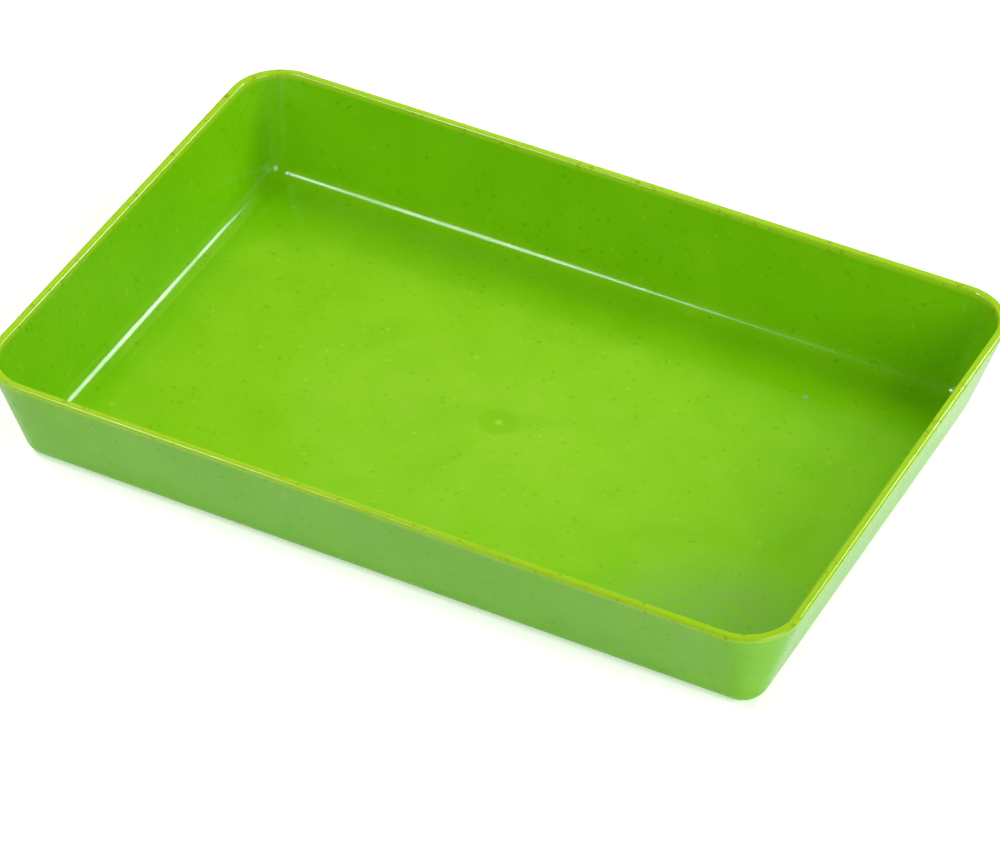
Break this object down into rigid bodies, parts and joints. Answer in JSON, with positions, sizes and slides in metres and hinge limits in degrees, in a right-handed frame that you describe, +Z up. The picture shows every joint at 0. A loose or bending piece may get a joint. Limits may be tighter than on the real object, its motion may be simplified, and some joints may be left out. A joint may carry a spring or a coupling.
{
  "type": "rectangular tray",
  "caption": "Shallow open rectangular tray with leaning walls, rounded corners and a plain rim, moulded in one piece, nestable.",
  "frame": {"origin": "centre of the base, on the resting face", "axes": "+X along the length, +Y across the width, +Z up, out of the open top"},
  "size_m": [0.24, 0.16, 0.032],
  "materials": {
    "tray": "semi-gloss lime green with fine dark and pale specks"
  },
  "bodies": {
    "root": {"tray": "tray"}
  },
  "joints": []
}
